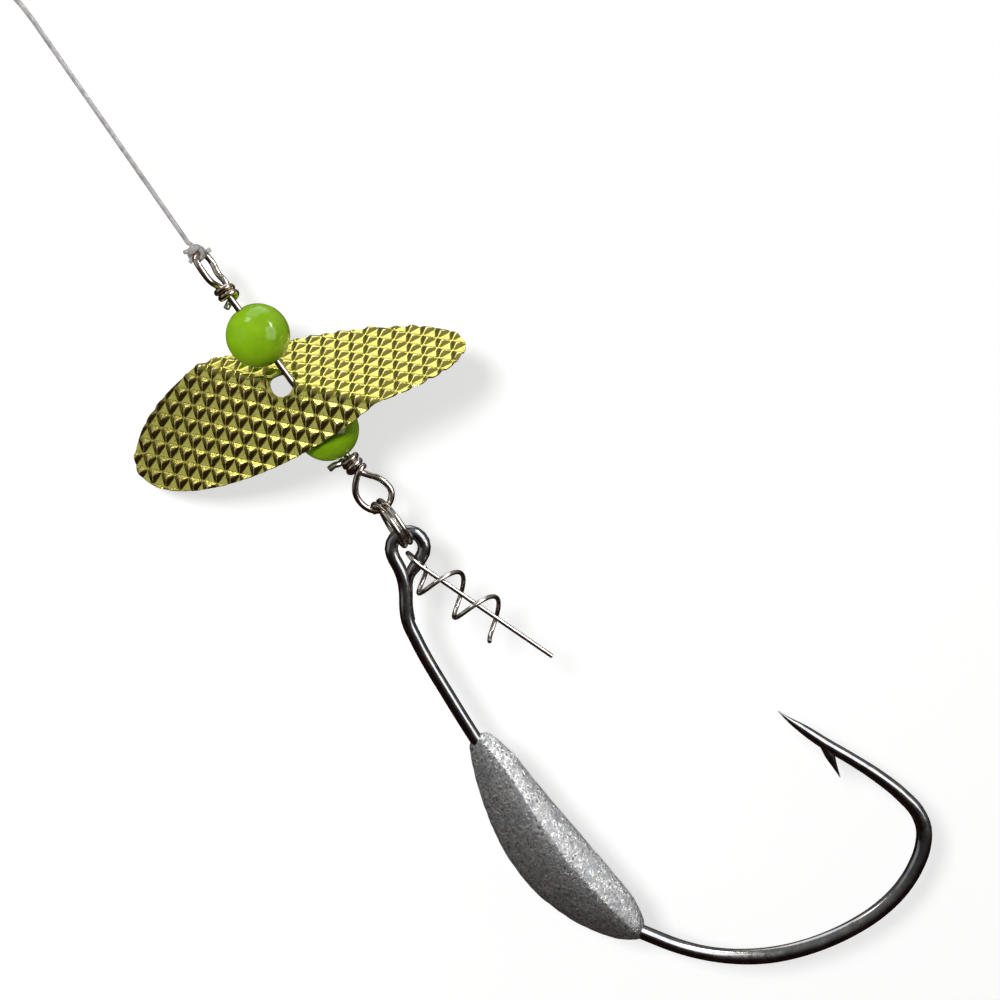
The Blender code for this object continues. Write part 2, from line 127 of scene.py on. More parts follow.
def makeRoom():
    # what the metal reflects: dark below, grey at the sides, pale above; the camera itself sees plain white
    world = bpy.data.worlds.new("studioRoom")
    world.use_nodes = True
    bpy.context.scene.world = world
    tree = world.node_tree
    tree.nodes.clear()
    where = tree.nodes.new("ShaderNodeTexCoord")
    height = tree.nodes.new("ShaderNodeVectorMath")
    height.operation = "DOT_PRODUCT"
    height.inputs[1].default_value = towards(*room["ceilingAim"])
    share = tree.nodes.new("ShaderNodeMapRange")
    share.inputs["From Min"].default_value = -1.0
    tones = tree.nodes.new("ShaderNodeValToRGB")
    tones.color_ramp.elements[0].position = room["floorPlace"]
    tones.color_ramp.elements[0].color = (*room["floorTone"], 1.0)
    middle = tones.color_ramp.elements.new(room["sidePlace"])
    middle.color = (*room["sideTone"], 1.0)
    tones.color_ramp.elements[-1].position = room["ceilingPlace"]
    tones.color_ramp.elements[-1].color = (*room["ceilingTone"], 1.0)
    reflected = tree.nodes.new("ShaderNodeBackground")
    seen = tree.nodes.new("ShaderNodeBackground")
    seen.inputs["Color"].default_value = (*room["shown"], 1.0)
    rays = tree.nodes.new("ShaderNodeLightPath")
    either = tree.nodes.new("ShaderNodeMixShader")
    out = tree.nodes.new("ShaderNodeOutputWorld")
    tree.links.new(where.outputs["Generated"], height.inputs[0])
    tree.links.new(height.outputs["Value"], share.inputs["Value"])
    tree.links.new(share.outputs["Result"], tones.inputs["Fac"])
    tree.links.new(tones.outputs["Color"], reflected.inputs["Color"])
    tree.links.new(rays.outputs["Is Camera Ray"], either.inputs["Fac"])
    tree.links.new(reflected.outputs["Background"], either.inputs[1])
    tree.links.new(seen.outputs["Background"], either.inputs[2])
    tree.links.new(either.outputs["Shader"], out.inputs["Surface"])


table = {"behind": 9.5, "width": 1.6, "white": 0.50, "glow": 0.655}


def makeTable():
    # a white sheet close behind the lure, clear from its far side so the lure's back can be seen
    half = table["width"] / 2
    depth = table["behind"] * mm
    mesh = bpy.data.meshes.new("paleTable")
    corners = [(-half, depth, -half), (half, depth, -half), (half, depth, half), (-half, depth, half)]
    mesh.from_pydata(corners, [], [(0, 1, 2, 3)])
    sheet = bpy.data.objects.new("paleTable", mesh)
    bpy.context.scene.collection.objects.link(sheet)
    sheet.visible_glossy = False
    paper = bpy.data.materials.new("palePaper")
    paper.use_nodes = True
    tree = paper.node_tree
    shader = tree.nodes["Principled BSDF"]
    shader.inputs["Base Color"].default_value = (table["white"],) * 3 + (1.0,)
    shader.inputs["Roughness"].default_value = 0.9
    shader.inputs["Specular IOR Level"].default_value = 0.1
    shader.inputs["Emission Color"].default_value = (1.0, 1.0, 1.0, 1.0)
    shader.inputs["Emission Strength"].default_value = table["glow"]
    side = tree.nodes.new("ShaderNodeNewGeometry")
    clear = tree.nodes.new("ShaderNodeBsdfTransparent")
    either = tree.nodes.new("ShaderNodeMixShader")
    tree.links.new(side.outputs["Backfacing"], either.inputs["Fac"])
    tree.links.new(shader.outputs["BSDF"], either.inputs[1])
    tree.links.new(clear.outputs["BSDF"], either.inputs[2])
    tree.links.new(either.outputs["Shader"], tree.nodes["Material Output"].inputs["Surface"])
    mesh.materials.append(paper)


makeCamera()
for lamp in lamps:
    makeLamp(lamp)
makeRoom()
makeTable()
print("camera, lamps, room and table made")


# shared shader groups

def newSocket(tree, name, kind, inOut, value=None):
    made = tree.interface.new_socket(name=name, in_out=inOut, socket_type=kind)
    if value is not None:
        made.default_value = value
    return made


def makeMarksGroup():
    # cloudy handling marks and colour drift, a mask from 0 to 1
    tree = bpy.data.node_groups.new("handlingMarks", "ShaderNodeTree")
    newSocket(tree, "Place", "NodeSocketVector", "INPUT")
    newSocket(tree, "Scale", "NodeSocketFloat", "INPUT", 1000.0)
    newSocket(tree, "Low", "NodeSocketFloat", "INPUT", 0.35)
    newSocket(tree, "High", "NodeSocketFloat", "INPUT", 0.65)
    newSocket(tree, "Mask", "NodeSocketFloat", "OUTPUT")
    start = tree.nodes.new("NodeGroupInput")
    end = tree.nodes.new("NodeGroupOutput")
    cloud = tree.nodes.new("ShaderNodeTexNoise")
    cloud.inputs["Detail"].default_value = 5.0
    cloud.inputs["Roughness"].default_value = 0.6
    spread = tree.nodes.new("ShaderNodeMapRange")
    spread.interpolation_type = "SMOOTHSTEP"
    tree.links.new(start.outputs["Place"], cloud.inputs["Vector"])
    tree.links.new(start.outputs["Scale"], cloud.inputs["Scale"])
    tree.links.new(cloud.outputs["Fac"], spread.inputs["Value"])
    tree.links.new(start.outputs["Low"], spread.inputs["From Min"])
    tree.links.new(start.outputs["High"], spread.inputs["From Max"])
    tree.links.new(spread.outputs["Result"], end.inputs["Mask"])
    return tree


def makeReliefGroup():
    # fine surface relief, put out as a normal
    tree = bpy.data.node_groups.new("fineRelief", "ShaderNodeTree")
    newSocket(tree, "Place", "NodeSocketVector", "INPUT")
    newSocket(tree, "Scale", "NodeSocketFloat", "INPUT", 3000.0)
    newSocket(tree, "Strength", "NodeSocketFloat", "INPUT", 0.3)
    newSocket(tree, "Depth", "NodeSocketFloat", "INPUT", 0.00002)
    newSocket(tree, "Normal", "NodeSocketVector", "OUTPUT")
    start = tree.nodes.new("NodeGroupInput")
    end = tree.nodes.new("NodeGroupOutput")
    grain = tree.nodes.new("ShaderNodeTexNoise")
    grain.inputs["Detail"].default_value = 6.0
    grain.inputs["Roughness"].default_value = 0.65
    bump = tree.nodes.new("ShaderNodeBump")
    tree.links.new(start.outputs["Place"], grain.inputs["Vector"])
    tree.links.new(start.outputs["Scale"], grain.inputs["Scale"])
    tree.links.new(grain.outputs["Fac"], bump.inputs["Height"])
    tree.links.new(start.outputs["Strength"], bump.inputs["Strength"])
    tree.links.new(start.outputs["Depth"], bump.inputs["Distance"])
    tree.links.new(bump.outputs["Normal"], end.inputs["Normal"])
    return tree


marksGroup = makeMarksGroup()
reliefGroup = makeReliefGroup()


def startMaterial(name, settings):
    material = bpy.data.materials.new(name)
    material.use_nodes = True
    shader = material.node_tree.nodes["Principled BSDF"]
    for socket, value in settings.items():
        shader.inputs[socket].default_value = value
    return material, material.node_tree, shader


def addGroup(tree, group, place, values):
    node = tree.nodes.new("ShaderNodeGroup")
    node.node_tree = group
    tree.links.new(place, node.inputs["Place"])
    for socket, value in values.items():
        node.inputs[socket].default_value = value
    return node


def objectPlace(tree):
    return tree.nodes.new("ShaderNodeTexCoord").outputs["Object"]


def wirePlace(tree, along, around):
    # the wire's own lengthwise coordinates, stretched into drawing lines
    source = tree.nodes.new("ShaderNodeUVMap")
    source.uv_map = "wireUv"
    stretch = tree.nodes.new("ShaderNodeMapping")
    stretch.inputs["Scale"].default_value = (along, around, 1.0)
    tree.links.new(source.outputs["UV"], stretch.inputs["Vector"])
    return stretch.outputs["Vector"]


def blendColours(tree, mask, first, second):
    mix = tree.nodes.new("ShaderNodeMix")
    mix.data_type = "RGBA"
    tree.links.new(mask, mix.inputs["Factor"])
    for socket, value in ((mix.inputs[6], first), (mix.inputs[7], second)):
        if isinstance(value, bpy.types.NodeSocket):
            tree.links.new(value, socket)
        else:
            socket.default_value = (*value, 1.0)
    return mix.outputs[2]


def blendValues(tree, mask, first, second):
    ramp = tree.nodes.new("ShaderNodeMapRange")
    ramp.inputs["To Min"].default_value = first
    ramp.inputs["To Max"].default_value = second
    tree.links.new(mask, ramp.inputs["Value"])
    return ramp.outputs["Result"]


def makeSteel(name, look):
    material, tree, shader = startMaterial(name, {"Metallic": 1.0})
    place = objectPlace(tree)
    tint = addGroup(tree, marksGroup, place, {"Scale": look["tintScale"], "Low": 0.38, "High": 0.66})
    marks = addGroup(tree, marksGroup, place, {"Scale": look["marksScale"], "Low": 0.35, "High": 0.7})
    colour = blendColours(tree, tint.outputs["Mask"], look["plain"], look["tinted"])
    colour = blendColours(tree, marks.outputs["Mask"], colour, look["worn"])
    tree.links.new(colour, shader.inputs["Base Color"])
    rough = blendValues(tree, marks.outputs["Mask"], look["smooth"], look["rough"])
    tree.links.new(rough, shader.inputs["Roughness"])
    lines = addGroup(tree, reliefGroup, wirePlace(tree, *look["lines"]),
                     {"Scale": 1.0, "Strength": look["lineStrength"], "Depth": look["lineDepth"]})
    tree.links.new(lines.outputs["Normal"], shader.inputs["Normal"])
    return material


def makeNylon():
    look = {"clear": (0.62, 0.60, 0.60), "cloudy": (0.36, 0.35, 0.35)}
    material, tree, shader = startMaterial(
        "clearNylon", {"IOR": 1.53, "Transmission Weight": 0.45, "Metallic": 0.0})
    place = objectPlace(tree)
    marks = addGroup(tree, marksGroup, place, {"Scale": 1400.0, "Low": 0.4, "High": 0.7})
    colour = blendColours(tree, marks.outputs["Mask"], look["clear"], look["cloudy"])
    tree.links.new(colour, shader.inputs["Base Color"])
    rough = blendValues(tree, marks.outputs["Mask"], 0.05, 0.22)
    tree.links.new(rough, shader.inputs["Roughness"])
    relief = addGroup(tree, reliefGroup, place, {"Scale": 2600.0, "Strength": 0.25, "Depth": 0.00003})
    tree.links.new(relief.outputs["Normal"], shader.inputs["Normal"])
    return material


def makeLime():
    look = {"deep": (0.215, 0.440, 0.006), "light": (0.310, 0.560, 0.014)}
    material, tree, shader = startMaterial("limePlastic", {
        "IOR": 1.5, "Specular IOR Level": 0.28, "Subsurface Weight": 0.12,
        "Subsurface Radius": (0.6, 1.0, 0.1), "Subsurface Scale": 0.0012})
    place = objectPlace(tree)
    cloud = addGroup(tree, marksGroup, place, {"Scale": 260.0, "Low": 0.3, "High": 0.7})
    colour = blendColours(tree, cloud.outputs["Mask"], look["deep"], look["light"])
    tree.links.new(colour, shader.inputs["Base Color"])
    marks = addGroup(tree, marksGroup, place, {"Scale": 1800.0, "Low": 0.45, "High": 0.75})
    rough = blendValues(tree, marks.outputs["Mask"], 0.07, 0.2)
    tree.links.new(rough, shader.inputs["Roughness"])
    relief = addGroup(tree, reliefGroup, place, {"Scale": 700.0, "Strength": 0.05, "Depth": 0.00004})
    tree.links.new(relief.outputs["Normal"], shader.inputs["Normal"])
    return material


def makeGold():
    # the raised points are painted a paler gold at their crests as a painted highlight, and a darker brown
    # on their slopes as painted shade; ground is the flat foil's own gold, and tarnish drifts at random
    look = {"paintedCrestHighlight": (0.86, 0.82, 0.34), "slope": (0.60, 0.50, 0.10), "ground": (0.64, 0.62, 0.15),
            "tarnish": (0.40, 0.33, 0.06)}
    material, tree, shader = startMaterial("goldFilm", {"Metallic": 1.0})
    place = objectPlace(tree)
    lift = tree.nodes.new("ShaderNodeAttribute")
    lift.attribute_name = "emboss"
    tones = tree.nodes.new("ShaderNodeValToRGB")
    tones.color_ramp.elements[0].color = (*look["ground"], 1.0)
    # painted shade: the slopes of each point are darker and browner than the flat foil
    slope = tones.color_ramp.elements.new(0.30)
    slope.color = (*look["slope"], 1.0)
    tones.color_ramp.elements[-1].color = (*look["paintedCrestHighlight"], 1.0)
    spread = tree.nodes.new("ShaderNodeMapRange")
    spread.inputs["From Min"].default_value = -0.1
    tree.links.new(lift.outputs["Fac"], spread.inputs["Value"])
    tree.links.new(spread.outputs["Result"], tones.inputs["Fac"])
    marks = addGroup(tree, marksGroup, place, {"Scale": 3200.0, "Low": 0.5, "High": 0.72})
    colour = blendColours(tree, marks.outputs["Mask"], tones.outputs["Color"], look["tarnish"])
    tree.links.new(colour, shader.inputs["Base Color"])
    rough = blendValues(tree, marks.outputs["Mask"], 0.16, 0.34)
    tree.links.new(rough, shader.inputs["Roughness"])
    relief = addGroup(tree, reliefGroup, place, {"Scale": 2400.0, "Strength": 0.35, "Depth": 0.00005})
    tree.links.new(relief.outputs["Normal"], shader.inputs["Normal"])
    return material


def makeLead():
    look = {"bright": (0.95, 0.94, 0.93), "dull": (0.52, 0.54, 0.57), "pit": (0.13, 0.13, 0.14)}
    material, tree, shader = startMaterial("castLead", {"Metallic": 0.92})
    place = objectPlace(tree)
    skin = addGroup(tree, marksGroup, place, {"Scale": 1900.0, "Low": 0.40, "High": 0.62})
    pits = addGroup(tree, marksGroup, place, {"Scale": 4200.0, "Low": 0.52, "High": 0.66})
    colour = blendColours(tree, skin.outputs["Mask"], look["bright"], look["dull"])
    colour = blendColours(tree, pits.outputs["Mask"], colour, look["pit"])
    tree.links.new(colour, shader.inputs["Base Color"])
    rough = blendValues(tree, skin.outputs["Mask"], 0.24, 0.42)
    tree.links.new(rough, shader.inputs["Roughness"])
    relief = addGroup(tree, reliefGroup, place, {"Scale": 3600.0, "Strength": 1.0, "Depth": 0.00016})
    tree.links.new(relief.outputs["Normal"], shader.inputs["Normal"])
    return material


tintedSteel = makeSteel("tintedSteel", {
    "plain": (0.74, 0.67, 0.61), "tinted": (0.42, 0.30, 0.25), "worn": (0.62, 0.57, 0.52),
    "tintScale": 420.0, "marksScale": 1500.0, "smooth": 0.12, "rough": 0.26,
    "lines": (0.35, 9.0), "lineStrength": 0.12, "lineDepth": 0.00001})
brightSteel = makeSteel("brightSteel", {
    "plain": (0.76, 0.72, 0.67), "tinted": (0.50, 0.42, 0.36), "worn": (0.66, 0.62, 0.58),
    "tintScale": 500.0, "marksScale": 1700.0, "smooth": 0.11, "rough": 0.24,
    "lines": (0.35, 9.0), "lineStrength": 0.12, "lineDepth": 0.00001})
blackNickel = makeSteel("blackNickel", {
    "plain": (0.30, 0.31, 0.33), "tinted": (0.20, 0.21, 0.24), "worn": (0.38, 0.36, 0.34),
    "tintScale": 300.0, "marksScale": 900.0, "smooth": 0.12, "rough": 0.24,
    "lines": (0.2, 8.0), "lineStrength": 0.16, "lineDepth": 0.00002})
clearNylon = makeNylon()
limePlastic = makeLime()
goldFilm = makeGold()
castLead = makeLead()
print("materials made")


# shape helpers

def smoothPath(points, spacing):
    # points about one spacing apart on a smooth curve through the given ones
    gaps = [(end - start).length for start, end in zip(points, points[1:])]
    slopes = [(end - start) / gap for start, end, gap in zip(points, points[1:], gaps)]
    tangents = [slopes[0]]
    for index in range(len(slopes) - 1):
        share = gaps[index] / (gaps[index] + gaps[index + 1])
        tangents.append(slopes[index].lerp(slopes[index + 1], share))
    tangents.append(slopes[-1])
    path = [points[0].copy()]
    for index, gap in enumerate(gaps):
        start, end = points[index], points[index + 1]
        startHandle = start + tangents[index] * gap / 3
        endHandle = end - tangents[index + 1] * gap / 3
        pieces = max(1, round(gap / spacing))
        path += interpolate_bezier(start, startHandle, endHandle, end, pieces + 1)[1:]
    return path


def addPiece(name, mesh, material, body, slotName, *nodes, sharpAngle=45):
    if material is not None:
        mesh.materials.clear()
        mesh.materials.append(material)
    for face in mesh.polygons:
        face.use_smooth = True
    mesh.set_sharp_from_angle(angle=math.radians(sharpAngle))
    piece = bpy.data.objects.new(name, mesh)
    bpy.context.scene.collection.objects.link(piece)
    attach(piece, body)
    if nodes:
        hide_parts(*nodes)
    return piece


def meshFrom(shape, name):
    bmesh.ops.recalc_face_normals(shape, faces=shape.faces)
    mesh = bpy.data.meshes.new(name)
    shape.to_mesh(mesh)
    shape.free()
    return mesh


def sweep(shape, path, radii, sides=20, flats=None, dome=0.35):
    # a round wire along a path in mm, with softly rounded ends, and a UV map along and around it
    uvLayer = shape.loops.layers.uv.get("wireUv") or shape.loops.layers.uv.new("wireUv")
    count = len(path)
    tangents = []
    for index in range(count):
        before = path[max(0, index - 1)]
        after = path[min(count - 1, index + 1)]
        tangents.append((after - before).normalized())
    side = tangents[0].orthogonal().normalized()
    if abs(tangents[0].y) < 0.9:
        side = Vector((0.0, 1.0, 0.0))
    stations = []
    length = 0.0
    for index in range(count):
        tangent = tangents[index]
        side = (side - tangent * side.dot(tangent)).normalized()
        across = tangent.cross(side)
        if index:
            length += (path[index] - path[index - 1]).length
        stations.append((path[index], tangent, side, across, radii[index], length, index))
    rings = []

    def addRing(centre, side, across, radius, along, flat):
        ring = []
        for step in range(sides):
            angle = 2 * math.pi * step / sides
            offset = side * (math.cos(angle) * radius * flat) + across * (math.sin(angle) * radius)
            ring.append(shape.verts.new((centre + offset) * mm))
        rings.append((ring, along))

    def addEnd(station, outwards, steps):
        centre, tangent, side, across, radius, along, index = station
        flat = flats[index] if flats else 1.0
        for angle in steps:
            reach = radius * dome * math.sin(angle)
            shrink = radius * (1 - dome * (1 - math.cos(angle)))
            place = centre + tangent * outwards * reach
            addRing(place, side, across, shrink, along + outwards * reach, flat)

    quarter = math.pi / 2
    addEnd(stations[0], -1, (quarter, quarter * 0.66, quarter * 0.33))
    for centre, tangent, side, across, radius, along, index in stations:
        addRing(centre, side, across, radius, along, flats[index] if flats else 1.0)
    addEnd(stations[-1], 1, (quarter * 0.33, quarter * 0.66, quarter))
    for (first, firstAlong), (second, secondAlong) in zip(rings, rings[1:]):
        for step in range(sides):
            after = (step + 1) % sides
            face = shape.faces.new((first[step], first[after], second[after], second[step]))
            corners = (
                (firstAlong, step), (firstAlong, step + 1), (secondAlong, step + 1), (secondAlong, step))
            for loop, (along, around) in zip(face.loops, corners):
                loop[uvLayer].uv = (along, around / sides)
    for (ring, along), flip in ((rings[0], True), (rings[-1], False)):
        shape.faces.new(list(reversed(ring)) if flip else ring)


def wirePiece(name, path, radius, material, body, slotName, *nodes, sides=20, sharpAngle=50):
    shape = bmesh.new()
    sweep(shape, path, [radius] * len(path), sides)
    return addPiece(name, meshFrom(shape, name), material, body, slotName, *nodes, sharpAngle=sharpAngle)


# leader line with its tied loop above and the knot round the wire eye below

line = {
    "diameter": 0.45, "top": -6.32, "length": 31.0, "points": 28,
    "sway": 0.85, "start": -0.12, "fade": 0.22,
}
lineLoop = {
    "height": 4.4, "halfWidth": 1.5, "spacing": 0.18, "sides": 16,
    "outline": ((-0.2, 1.0), (-0.75, 0.68), (-1.0, 0.36), (-0.72, 0.08)),
}
endKnot = {
    "top": -4.46, "bottom": -6.26, "radius": 0.75, "turns": 3, "turnSteps": 24, "sides": 14,
    "coreShare": 1.45, "coreInset": 0.02, "coreSteps": 6,
}


def makeLine():
    # leans out a little below its top knot and comes back towards the lure
    curve = bpy.data.curves.new("leaderLine", "CURVE")
    curve.dimensions = "3D"
    curve.bevel_depth = line["diameter"] / 2 * mm
    curve.bevel_resolution = 6
    curve.use_fill_caps = True
    spline = curve.splines.new("POLY")
    spline.points.add(line["points"] - 1)
    for index, slot in enumerate(spline.points):
        share = index / (line["points"] - 1)
        fade = min(1.0, share / line["fade"])
        fade = fade * fade * (3.0 - 2.0 * fade)
        sway = fade * (line["start"] + line["sway"] * (1.0 - share))
        slot.co = (sway * mm, 0.0, (line["top"] - line["length"] * share) * mm, 1.0)
    curve.materials.append(clearNylon)
    piece = bpy.data.objects.new("leaderLine", curve)
    bpy.context.scene.collection.objects.link(piece)
    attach(piece, "leader")
    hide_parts("leader_line")
    return piece


def makeEndLoop():
    half, drop = lineLoop["halfWidth"], -lineLoop["height"]
    left = [Vector((side * half, 0.0, share * drop)) for side, share in lineLoop["outline"]]
    right = [Vector((-point.x, 0.0, point.z)) for point in reversed(left)]
    path = smoothPath([*left, Vector((0.0, 0.0, line["diameter"] / 2)), *right], lineLoop["spacing"])
    return wirePiece("lineEndLoop", path, line["diameter"] / 2, clearNylon, "leader", "clear_nylon",
                     "line_end_loop", sides=lineLoop["sides"])


def makeEndKnot():
    # barrel turns of the same line round both legs of the loop
    shape = bmesh.new()
    radius = line["diameter"] / 2
    coil = endKnot["radius"] - radius
    tall = endKnot["top"] - endKnot["bottom"] - 2 * radius
    path = []
    steps = endKnot["turns"] * endKnot["turnSteps"]
    for index in range(steps + 1):
        angle = 2 * math.pi * index / endKnot["turnSteps"]
        height = endKnot["top"] - radius - tall * index / steps
        path.append(Vector((coil * math.cos(angle), coil * math.sin(angle), height)))
    sweep(shape, path, [radius] * len(path), endKnot["sides"])
    first = Vector((0.0, 0.0, endKnot["top"] - endKnot["coreInset"]))
    last = Vector((0.0, 0.0, endKnot["bottom"] + endKnot["coreInset"]))
    core = [first.lerp(last, share / endKnot["coreSteps"]) for share in range(endKnot["coreSteps"] + 1)]
    sweep(shape, core, [radius * endKnot["coreShare"]] * len(core), endKnot["sides"])
    return addPiece("lineEndKnot", meshFrom(shape, "lineEndKnot"), clearNylon, "leader", "clear_nylon",
                    "line_end_knot")


knot = {
    "eyeTurn": math.radians(66), "eyeTop": -0.75, "sag": 0.33, "wire": 0.31, "gap": 0.03,
    "turns": 2.5, "turnSteps": 14, "width": 0.95, "swell": 0.14, "swellEvery": 0.9,
    "start": (0.26, 0.08), "tag": ((0.42, 0.05, 0.16), (0.50, 0.0, 0.04)),
    "bight": (
        (-0.52, -0.34, -0.62), (-0.34, -0.62, -0.40), (0.02, -0.66, -0.38), (0.34, -0.42, -0.42),
        (0.38, -0.06, -0.30), (0.16, 0.30, -0.14), (-0.20, 0.34, -0.12), (-0.58, 0.14, -0.12),
        (-0.90, -0.06, -0.02)),
    "stub": ((-0.44, -0.48, -0.80), (-0.72, -0.50, -0.92), (-1.00, -0.46, -1.02)),
    "bightShare": 0.92, "stubShare": 0.9, "spacing": 0.12, "stubSpacing": 0.1, "sides": 14,
}


def makeLeaderKnot():
    # turns of line round the wire eye, a tag end to the right, and a cut bight and stub to the left
    radius = line["diameter"] / 2
    across = Vector((math.cos(knot["eyeTurn"]), math.sin(knot["eyeTurn"]), 0.0))
    out = Vector((-math.sin(knot["eyeTurn"]), math.cos(knot["eyeTurn"]), 0.0))
    up = Vector((0.0, 0.0, 1.0))
    rise = Vector((0.0, 0.0, leaderKnotHeight))
    coil = knot["wire"] + radius + knot["gap"]
    shape = bmesh.new()

    def addStrand(points, spacing, share):
        path = [point + rise for point in smoothPath(points, spacing)]
        sweep(shape, path, [radius * share] * len(path), knot["sides"])

    control = [up * height for height in knot["start"]]
    steps = int(knot["turns"] * knot["turnSteps"])
    for index in range(steps + 1):
        angle = math.radians(90) - 2 * math.pi * knot["turns"] * index / steps
        along = knot["width"] * (index / steps - 0.5)
        swell = 1.0 + knot["swell"] * math.sin(index * knot["swellEvery"])
        point = across * along + out * (coil * swell * math.cos(angle))
        point += up * (knot["eyeTop"] + coil * math.sin(angle) - knot["sag"] * along ** 2)
        control.append(point)
    for step in knot["tag"]:
        control.append(control[-1] + Vector(step))
    addStrand(control, knot["spacing"], 1.0)
    addStrand([Vector(point) for point in knot["bight"]], knot["spacing"], knot["bightShare"])
    addStrand([Vector(point) for point in knot["stub"]], knot["stubSpacing"], knot["stubShare"])
    return addPiece("leaderKnot", meshFrom(shape, "leaderKnot"), clearNylon, "leader", "clear_nylon",
                    "leader_knot")


leaderLine = makeLine()
lineEndLoop = makeEndLoop()
lineEndKnot = makeEndKnot()
makeLeaderKnot()
print("leader made")


# shaft wire with a wrapped eye at each end

shaft = {
    "radius": 0.31, "wrapRadius": 0.70, "wrapPitch": 0.64, "wrapLean": 0.25, "turnSteps": 20,
    "upperTurn": math.radians(66), "upperWrapTop": -4.6, "upperWrapTurns": 2.1,
    "upperTail": 0.75, "upperTailDrop": 0.4, "straightSteps": 40, "spacing": 0.16,
    "upperEye": (
        (0.0, -6.0), (0.0, -5.4), (-0.6, -4.35), (-1.25, -3.45), (-1.35, -2.35), (-1.0125, -1.08),
        (0.0, -0.75), (1.0125, -1.08), (1.35, -2.2), (0.95, -3.4)),
    "lowerWrapBottom": -26.2, "lowerWrapTurns": 2.58, "lowerWrapStart": math.radians(-40),
    "lowerTail": ((-0.3, -0.38, 0.04), (-0.85, -0.55, 0.24), (-1.35, -0.62, 0.22)),
    "lowerEye": (
        (0.0, 0.0, -24.9), (0.0, 0.0, -25.5), (0.06, 0.2, -26.35), (0.5, 0.24, -27.08), (1.05, 0.1, -27.78),
        (1.45, 0.0, -28.8), (1.42, 0.0, -29.7), (0.75, 0.0, -30.45), (-0.2, 0.0, -30.72),
        (-1.05, 0.0, -30.22), (-1.5, -0.05, -29.4), (-1.6, -0.1, -28.6), (-1.47, -0.2, -27.88),
        (-1.07, -0.32, -27.22), (-0.4, -0.5, -26.55), (0.2, -0.63, -26.15)),
}


def wrapped(start, turns, height, pitch):
    # the turns that the wire's end takes round the shaft
    steps = int(turns * shaft["turnSteps"])
    points = []
    for index in range(steps + 1):
        angle = start + 2 * math.pi * turns * index / steps
        rise = pitch * turns * index / steps - shaft["wrapLean"] * math.sin(angle)
        reach = shaft["wrapRadius"]
        points.append(Vector((reach * math.cos(angle), reach * math.sin(angle), height + rise)))
    return points


def makeShaft():
    across = Vector((math.cos(shaft["upperTurn"]), math.sin(shaft["upperTurn"]), 0.0))
    upper = [across * side + Vector((0.0, 0.0, height)) for side, height in shaft["upperEye"]]
    wraps = wrapped(shaft["upperTurn"], shaft["upperWrapTurns"], shaft["upperWrapTop"],
                    -shaft["wrapPitch"])
    last = shaft["upperTurn"] + 2 * math.pi * shaft["upperWrapTurns"]
    leaving = Vector((-math.sin(last), math.cos(last), -shaft["upperTailDrop"]))
    upperTail = wraps[-1] + leaving * shaft["upperTail"]
    lowerEye = [Vector(point) for point in shaft["lowerEye"]]
    lowerWraps = wrapped(shaft["lowerWrapStart"], shaft["lowerWrapTurns"], shaft["lowerWrapBottom"],
                         shaft["wrapPitch"])
    lowerTail = [lowerWraps[-1] + Vector(step) for step in shaft["lowerTail"]]
    upperEnd = smoothPath([upperTail, *reversed(wraps), *reversed(upper)], shaft["spacing"])
    lowerEnd = smoothPath([*lowerEye, *lowerWraps, *lowerTail], shaft["spacing"])
    steps = shaft["straightSteps"]
    middle = [upperEnd[-1].lerp(lowerEnd[0], share / steps) for share in range(1, steps)]
    path = [point + Vector((0.0, 0.0, leaderKnotHeight)) for point in [*upperEnd, *middle, *lowerEnd]]
    return wirePiece("shaftWire", path, shaft["radius"], tintedSteel, "shaft", "tinted_steel",
                     "shaft_wire")


makeShaft()
print("shaft made")


# beads

bead = {
    "radius": 3.0, "bore": 0.55, "upper": -10.2, "lower": -21.25,
    "lip": 0.15, "lipDepth": 0.9, "lipSteps": 5, "seam": 0.008, "seamWidth": 0.018, "rows": 60, "steps": 72,
}


def makeBead(name, height, body, node):
    # turned round its bore, with a soft lip at each mouth and a faint moulding line round the middle
    profile = []
    first = math.asin((bead["bore"] + bead["lip"]) / bead["radius"])
    mouth = bead["radius"] * math.cos(first)
    for step in range(bead["lipSteps"]):
        turn = math.pi / 2 * step / (bead["lipSteps"] - 1)
        profile.append((bead["bore"] + bead["lip"] * (1 - math.cos(turn)) * bead["lipDepth"],
                        mouth - bead["lip"] * bead["lipDepth"] * (1 - math.sin(turn))))
    for step in range(1, bead["rows"]):
        angle = first + (math.pi - 2 * first) * step / bead["rows"]
        seam = bead["seam"] * math.exp(-((math.cos(angle) / bead["seamWidth"]) ** 2))
        reach = bead["radius"] + seam
        profile.append((reach * math.sin(angle), reach * math.cos(angle)))
    profile += [(radius, -high) for radius, high in reversed(profile[:bead["lipSteps"]])]
    shape = bmesh.new()
    rings = []
    for radius, high in profile:
        ring = []
        for step in range(bead["steps"]):
            angle = 2 * math.pi * step / bead["steps"]
            point = Vector((radius * math.cos(angle), radius * math.sin(angle), high))
            point.z += leaderKnotHeight + height
            ring.append(shape.verts.new(point * mm))
        rings.append(ring)
    for first, second in zip(rings, [*rings[1:], rings[0]]):
        for step in range(bead["steps"]):
            after = (step + 1) % bead["steps"]
            shape.faces.new((first[step], second[step], second[after], first[after]))
    return addPiece(name, meshFrom(shape, name), limePlastic, body, "lime_plastic", node, sharpAngle=60)


makeBead("upperBead", bead["upper"], "top_bead", "upper_bead")
makeBead("lowerBead", bead["lower"], "spinner_bead", "lower_bead")
print("beads made")


# embossed propeller blade

